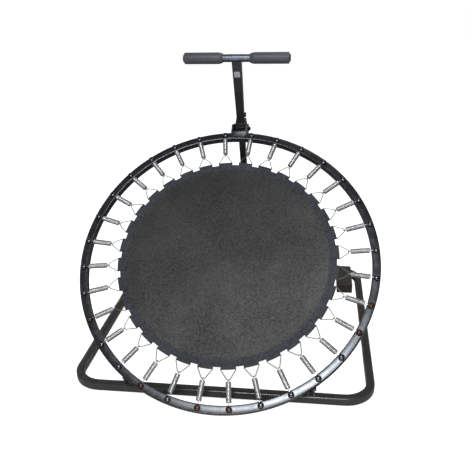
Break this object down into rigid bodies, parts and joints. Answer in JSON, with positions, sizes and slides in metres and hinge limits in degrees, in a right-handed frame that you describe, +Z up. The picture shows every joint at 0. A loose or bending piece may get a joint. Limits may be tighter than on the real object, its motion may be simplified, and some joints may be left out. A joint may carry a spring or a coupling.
{
  "type": "mini trampoline",
  "caption": "Round sprung rebounder mat in a ring that tilts on a tubular floor frame, propped by a T-handled mast.",
  "frame": {"origin": "on the floor, under the middle of the whole object's bounding box", "axes": "+X to the right as the user faces the mat, +Y from front to back, +Z up"},
  "size_m": [0.965, 1.0453, 0.942],
  "materials": {
    "base_paint": "gloss black-brown powder coat",
    "ring_paint": "gloss black powder coat",
    "rubber": "matt moulded rubber",
    "zinc": "bright zinc plate",
    "mat_weave": "tight woven polypropylene",
    "foam": "closed-cell foam",
    "bar_steel": "blued steel",
    "black_plastic": "moulded plastic"
  },
  "bodies": {
    "base": {"base_frame": "base_paint", "front_foot_pad_L": "rubber", "front_foot_pad_R": "rubber", "rear_foot_block_L": "rubber", "rear_foot_block_R": "rubber", "front_hinge_bracket_L": "base_paint", "front_hinge_bracket_R": "base_paint", "front_hinge_bolt_L": "zinc", "front_hinge_bolt_R": "zinc", "mast_hinge_bracket": "base_paint", "mast_hinge_bolt": "zinc"},
    "ring": {"ring_frame": "ring_paint", "ring_lug_L": "ring_paint", "ring_lug_R": "ring_paint", "top_bracket": "ring_paint", "sleeve_pivot_bolt_L": "zinc", "sleeve_pivot_bolt_R": "zinc", "spring_01": "zinc", "spring_02": "zinc", "spring_03": "zinc", "spring_04": "zinc", "spring_05": "zinc", "spring_06": "zinc", "spring_07": "zinc", "spring_08": "zinc", "spring_09": "zinc", "spring_10": "zinc", "spring_11": "zinc", "spring_12": "zinc", "spring_13": "zinc", "spring_14": "zinc", "spring_15": "zinc", "spring_16": "zinc", "spring_17": "zinc", "spring_18": "zinc", "spring_19": "zinc", "spring_20": "zinc", "spring_21": "zinc", "spring_22": "zinc", "spring_23": "zinc", "spring_24": "zinc", "spring_25": "zinc", "spring_26": "zinc", "spring_27": "zinc", "spring_28": "zinc", "spring_29": "zinc", "spring_30": "zinc", "spring_31": "zinc", "spring_32": "zinc"},
    "mat": {"mat": "mat_weave"},
    "sleeve": {"sleeve": "ring_paint"},
    "lock_pin": {"tilt_lock_pin": "black_plastic"},
    "mast": {"mast_tube": "base_paint"},
    "handle": {"handle_post": "base_paint", "handle_bar": "bar_steel", "foam_grip_L": "foam", "foam_grip_R": "foam", "bar_end_cap_L": "black_plastic", "bar_end_cap_R": "black_plastic"},
    "knob": {"clamp_knob": "black_plastic"}
  },
  "joints": [
    {"name": "ring_tilt", "type": "hinge", "parent": "base", "child": "ring", "pos_m": [0, -0.41913, 0.0535], "axis": [1, 0, 0], "range_deg": [-37.5, 0]},
    {"name": "mast_swing", "type": "hinge", "parent": "base", "child": "mast", "pos_m": [0, 0.50465, 0.0535], "axis": [1, 0, 0], "range_deg": [-18.75, 0]},
    {"name": "sleeve_pivot", "type": "hinge", "parent": "ring", "child": "sleeve", "pos_m": [0, 0.27494, 0.6631], "axis": [1, 0, 0], "range_deg": [0, 18.75]},
    {"name": "lock_pin_pull", "type": "slide", "parent": "sleeve", "child": "lock_pin", "axis": [0, 0.9358, 0.3526], "range_m": [0, 0.008], "stiffness_N_per_m": 600, "springref_m": -0.004},
    {"name": "handle_height", "type": "slide", "parent": "mast", "child": "handle", "axis": [0, -0.3526, 0.9358], "range_m": [0, 0.1]},
    {"name": "clamp_knob_turn", "type": "hinge", "parent": "handle", "child": "knob", "pos_m": [0, 0.25414, 0.71832], "axis": [1, 0, 0], "range_deg": [0, 270]},
    {"name": "mat_bounce", "type": "slide", "parent": "ring", "child": "mat", "axis": [0, -0.6691, 0.7431], "range_m": [-0.05, 0.02], "stiffness_N_per_m": 6000, "deforming": ["spring_01", "spring_02", "spring_03", "spring_04", "spring_05", "spring_06", "spring_07", "spring_08", "spring_09", "spring_10", "spring_11", "spring_12", "spring_13", "spring_14", "spring_15", "spring_16", "spring_17", "spring_18", "spring_19", "spring_20", "spring_21", "spring_22", "spring_23", "spring_24", "spring_25", "spring_26", "spring_27", "spring_28", "spring_29", "spring_30", "spring_31", "spring_32"]}
  ],
  "couplings": [
    {"joint": "mast_swing", "follows": "ring_tilt", "ratio": 0.5},
    {"joint": "sleeve_pivot", "follows": "ring_tilt", "ratio": -0.5}
  ]
}
